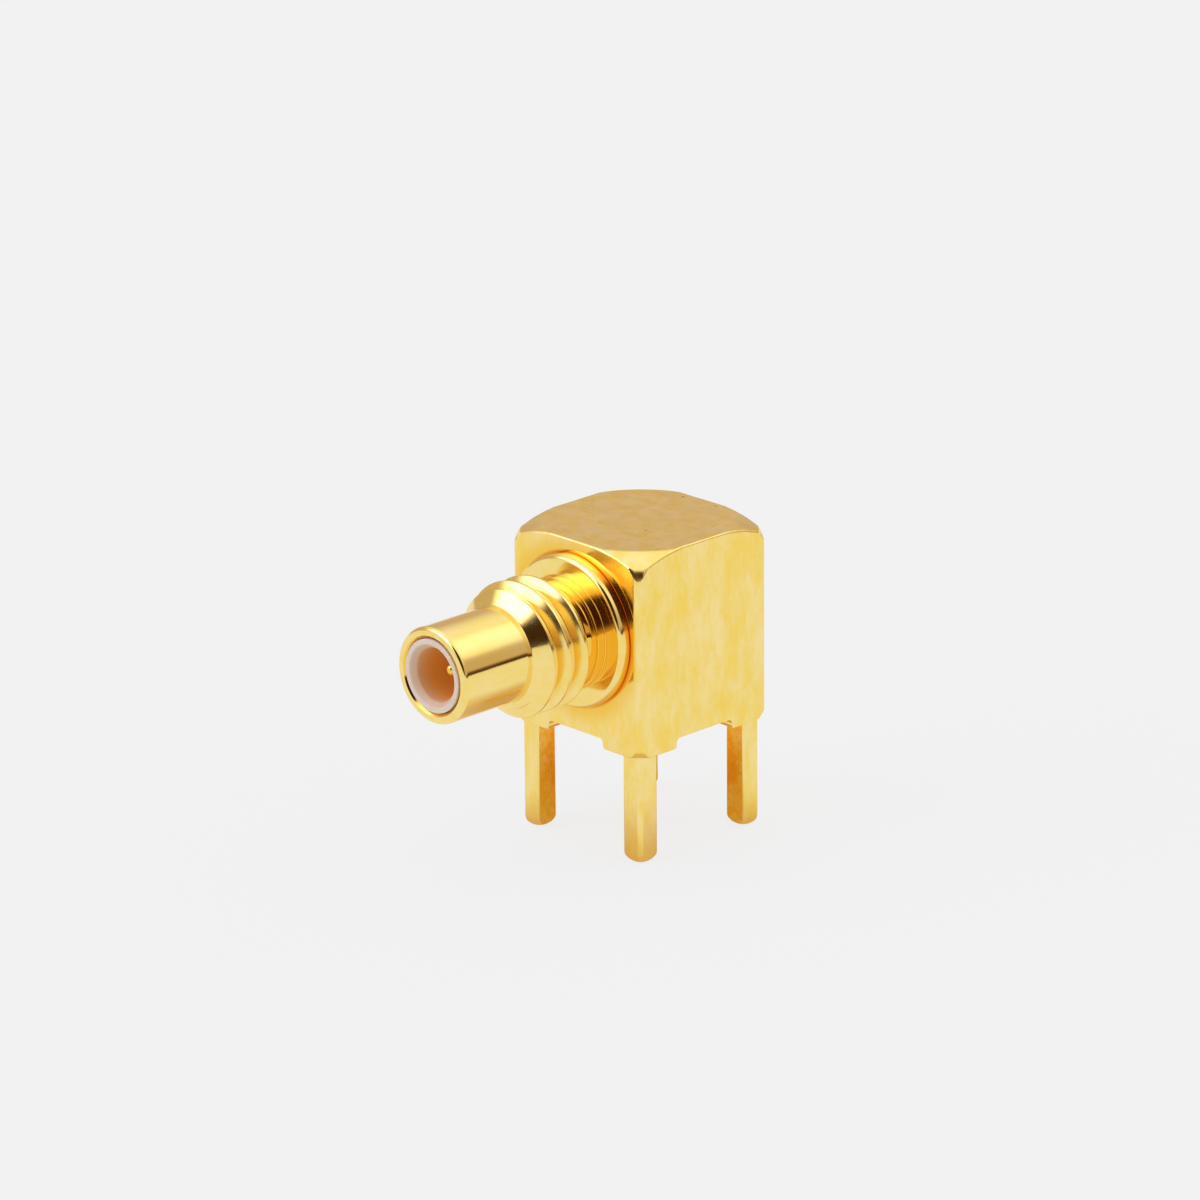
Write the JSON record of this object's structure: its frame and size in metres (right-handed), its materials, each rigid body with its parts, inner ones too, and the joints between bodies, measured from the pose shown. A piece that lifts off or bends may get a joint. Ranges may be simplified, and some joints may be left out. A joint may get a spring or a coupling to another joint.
{
  "type": "right-angle coaxial pcb connector",
  "caption": "Miniature gold-plated coaxial jack at a right angle: threaded barrel with a plastic-lined tube on a square body block with corner legs for a board.",
  "frame": {"origin": "on the printed board's surface, where the stand-off pads and the tail insulator sit, in the middle of the legs", "axes": "-Y along the barrel to its open end, +Z away from the board, legs along -Z"},
  "size_m": [0.0064, 0.0131, 0.0113],
  "materials": {
    "gold_plate": "gold plated, satin to polished",
    "white_plastic": "waxy, slightly translucent"
  },
  "bodies": {
    "root": {"body": "gold_plate", "barrel": "gold_plate", "front_insulator": "white_plastic", "rear_insulator": "white_plastic", "centre_contact": "gold_plate", "tail_insulator": "white_plastic", "tail_pin": "gold_plate"}
  },
  "joints": []
}
